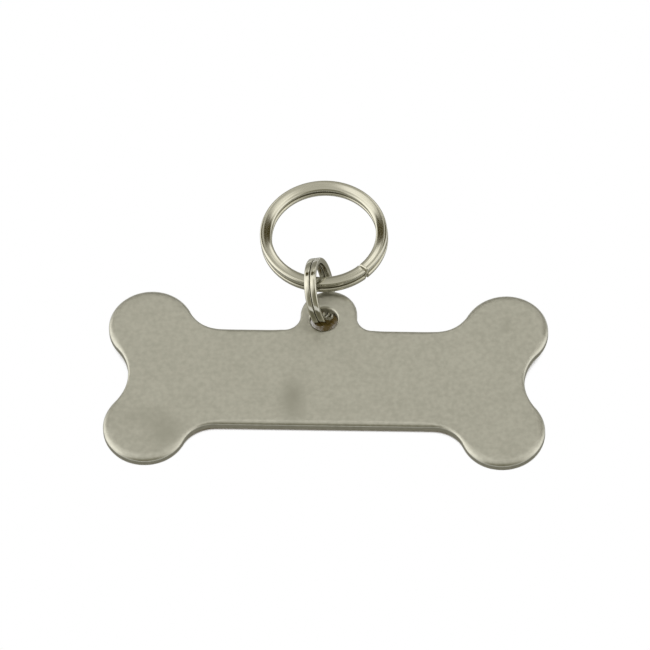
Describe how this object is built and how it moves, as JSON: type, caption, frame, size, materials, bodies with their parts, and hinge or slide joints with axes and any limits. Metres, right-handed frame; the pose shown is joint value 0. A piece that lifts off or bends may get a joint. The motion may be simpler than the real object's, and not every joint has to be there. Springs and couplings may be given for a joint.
{
  "type": "pet id tag",
  "caption": "Bone-shaped metal pet id tag with a blank face, hung from a split ring for a collar by a smaller split ring through its lug.",
  "frame": {"origin": "centre of the large split ring, where a collar carries the tag", "axes": "+X along the bone, +Y from the bone to the rings, +Z out of the tag's face and along the large ring's axis"},
  "size_m": [0.0514, 0.0387, 0.0079],
  "materials": {
    "tag_plate": "satin nickel plate",
    "ring_wire": "polished nickel plate"
  },
  "bodies": {
    "tag": {"tag": "tag_plate"},
    "link_ring": {"link_ring": "ring_wire"},
    "split_ring": {"split_ring": "ring_wire"}
  },
  "joints": [
    {"name": "link_turn", "type": "hinge", "parent": "tag", "child": "link_ring", "pos_m": [-0.00014, -0.0083, 0.00045], "axis": [0.9638, -0.0252, 0.2656], "range_deg": [0, 90]},
    {"name": "ring_swing", "type": "hinge", "parent": "link_ring", "child": "split_ring", "pos_m": [0, -0.00683, 0], "axis": [1, 0, 0], "range_deg": [-70, 90]}
  ]
}
